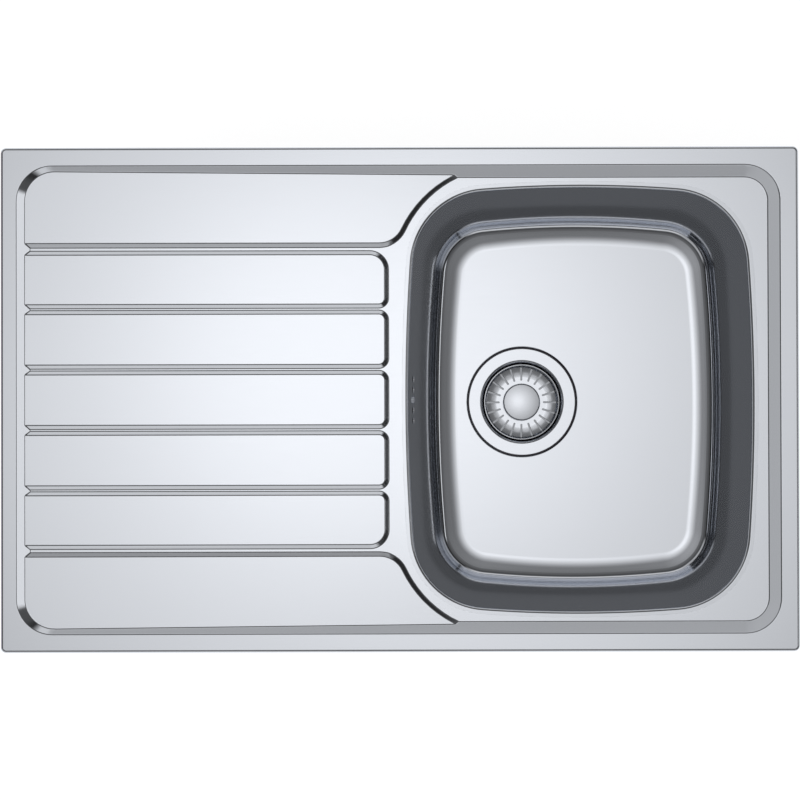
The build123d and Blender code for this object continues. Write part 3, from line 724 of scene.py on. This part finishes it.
# The nodes that keep their CAD shape, by how their names start.
kept = {
    "basket_stem": strainerSteel,
    "basket_seal": gasketRubber,
    "cup_gasket": gasketRubber,
    "body_gasket": gasketRubber,
    "overflow_gasket": gasketRubber,
    "hose_washer": gasketRubber,
    "rim_seal": stripRubber,
    "bowl_sound_pad": padRubber,
    "drainboard_sound_pads": padRubber,
    "waste_body": whitePlastic,
    "overflow_housing": whitePlastic,
    "hose_nut": greyPlastic,
    "clamp_hook": zincPlate,
    "clamp_brackets": zincPlate,
    "clamp_screw": threadedZinc,
}
for nodeName, node in frame["nodes"].items():
    for start, material in kept.items():
        if nodeName.startswith(start):
            node.data.materials.clear()
            node.data.materials.append(material)
print("kept nodes dressed")

# Height above the rim, the spot it hangs over and the width that it sees at the rim, in metres.
cameraSetup = {
    "height": 4.2,
    "x": 0.0,
    "y": -0.082,
    "rim": 0.004,
    "width": 0.7904,
    "aimX": 0.0002,
    "aimY": -0.0007,
    "sensor": 36,
    "clipEnd": 50,
}


def addCamera(setup):
    data = bpy.data.cameras.new("photoCamera")
    data.sensor_width = setup["sensor"]
    spot = Vector((setup["x"], setup["y"], setup["height"] + setup["rim"]))
    aim = Vector((setup["aimX"], setup["aimY"], setup["rim"]))
    sight = aim - spot
    data.lens = data.sensor_width * sight.length / setup["width"]
    data.clip_end = setup["clipEnd"]
    camera = bpy.data.objects.new("photoCamera", data)
    bpy.context.scene.collection.objects.link(camera)
    camera.location = spot
    camera.rotation_euler = sight.to_track_quat("-Z", "Y").to_euler()
    bpy.context.scene.camera = camera


addCamera(cameraSetup)

# Glossy rays see a softbox overhead, a dark gap, a light band and a lower studio: angle off the zenith in
# degrees, then brightness. A patch's tilt is that angle too, and its turn is counted from the bowl's end.
studio = {
    "bands": [(0, 1.24), (1.1, 1.16), (2.7, 0.94), (3.5, 0.84), (4.4, 0.79), (5.2, 0.74), (7, 0.56),
              (9, 0.40), (12, 0.22), (18, 0.14), (30, 0.13), (35, 0.09), (50, 0.08), (53, 0.02),
              (65, 0.02), (68, 0.48), (73, 0.48), (76, 0.30), (86, 0.50), (91, 0.80)],
    # The room leans a little to the rear.
    "lean": 0.028,
    # A patch at the bowl's end of the room, which the recess's left slope shows.
    "endTilt": [(41, 0), (43, 1), (48, 1), (52, 0)],
    "endTurn": [(0, 1), (10, 1), (18, 0)],
    "endLevel": 0.8,
    # A patch at each side of the room, which the sides of the grooves show.
    "sideTilt": [(52, 0), (57, 1), (65, 1), (69, 0)],
    "sideTurn": [(56, 0), (70, 1), (110, 1), (124, 0)],
    "sideLevel": 0.66,
    # Two patches behind the drainboard, which the main view's sheet hardly shows.
    "farTilt": [(48, 0), (53, 1), (63, 1), (66, 0)],
    "farTurn": [(112, 0), (124, 1), (158, 1), (168, 0)],
    "farLevel": 0.45,
    "diffuse": 0.62,
    "lampPower": 62,
    "lampSize": 3.0,
    "lampPlace": (-1.3, -1.1, 3.0),
    "floor": -0.2412,
    "floorSize": 30,
    "floorTone": (0.86, 0.86, 0.86, 1),
    "floorGlow": 1.16,
    "floorShare": 0.75,
}


def addWorld(setup):
    world = bpy.data.worlds.new("softStudio")
    bpy.context.scene.world = world
    world.use_nodes = True
    world.node_tree.nodes.clear()
    pen = Wire(world.node_tree)
    direction = pen.make("ShaderNodeTexCoord", {}, {}, "Generated")
    upward = pen.make("ShaderNodeSeparateXYZ", {}, {0: direction}, "Z")
    along = pen.make("ShaderNodeSeparateXYZ", {}, {0: direction}, "X")
    across = pen.make("ShaderNodeSeparateXYZ", {}, {0: direction}, "Y")
    tilt = pen.sum("ARCCOSINE", upward + across * setup["lean"]) * (1 / math.pi)
    turn = pen.sum("ARCTAN2", across, along)

    def ramp(stops, place):
        peak = max(shade for _, shade in stops)
        scaled = [(angle / 180, shade / peak) for angle, shade in stops]
        return pen.make("ShaderNodeValToRGB", {"stops": scaled}, {0: place}) * peak

    glow = ramp(setup["bands"], tilt)
    apart = pen.sum("ABSOLUTE", turn) * (1 / math.pi)
    for patch in ("end", "side", "far"):
        shape = ramp(setup[patch + "Tilt"], tilt) * ramp(setup[patch + "Turn"], apart)
        glow = glow + shape * setup[patch + "Level"]
    camera = pen.make("ShaderNodeLightPath", {}, {}, "Is Camera Ray")
    glossy = pen.make("ShaderNodeLightPath", {}, {}, "Is Glossy Ray")
    through = pen.make("ShaderNodeLightPath", {}, {}, "Is Transmission Ray")
    soft = pen.make("ShaderNodeBackground", {}, {0: (1, 1, 1, 1), 1: setup["diffuse"]})
    gloss = pen.make("ShaderNodeBackground", {}, {0: (1, 1, 1, 1), 1: glow})
    white = pen.make("ShaderNodeBackground", {}, {0: (1, 1, 1, 1), 1: 1.0})
    lit = pen.make("ShaderNodeMixShader", {}, {0: glossy + through, 1: soft, 2: gloss})
    seen = pen.make("ShaderNodeMixShader", {}, {0: camera, 1: lit, 2: white})
    pen.make("ShaderNodeOutputWorld", {}, {"Surface": seen})


def addFloor(setup):
    material, pen = blankMaterial("paleFloor")
    camera = pen.make("ShaderNodeLightPath", {}, {}, "Is Camera Ray")
    glossy = pen.make("ShaderNodeLightPath", {}, {}, "Is Glossy Ray")
    through = pen.make("ShaderNodeLightPath", {}, {}, "Is Transmission Ray")
    path = camera + glossy + through
    plain = pen.make("ShaderNodeBsdfDiffuse", {}, {"Color": setup["floorTone"]})
    white = pen.make("ShaderNodeEmission", {}, {"Color": (1, 1, 1, 1), "Strength": setup["floorGlow"]})
    surface = pen.make("ShaderNodeMixShader", {}, {0: path * setup["floorShare"], 1: plain, 2: white})
    pen.make("ShaderNodeOutputMaterial", {}, {0: surface})
    bpy.ops.mesh.primitive_plane_add(size=setup["floorSize"], location=(0, 0, setup["floor"]))
    floor = bpy.context.object
    floor.name = "paleFloor"
    floor.data.materials.append(material)


def addLamp(setup):
    data = bpy.data.lights.new("softLamp", "AREA")
    data.shape = "SQUARE"
    data.size = setup["lampSize"]
    data.energy = setup["lampPower"]
    lamp = bpy.data.objects.new("softLamp", data)
    bpy.context.scene.collection.objects.link(lamp)
    lamp.location = setup["lampPlace"]
    lamp.rotation_euler = (-Vector(setup["lampPlace"])).to_track_quat("-Z", "Y").to_euler()
    lamp.visible_camera = False
    lamp.visible_glossy = False


bpy.context.scene.view_settings.view_transform = "Standard"
addWorld(studio)
addFloor(studio)
addLamp(studio)
print("studio set up")
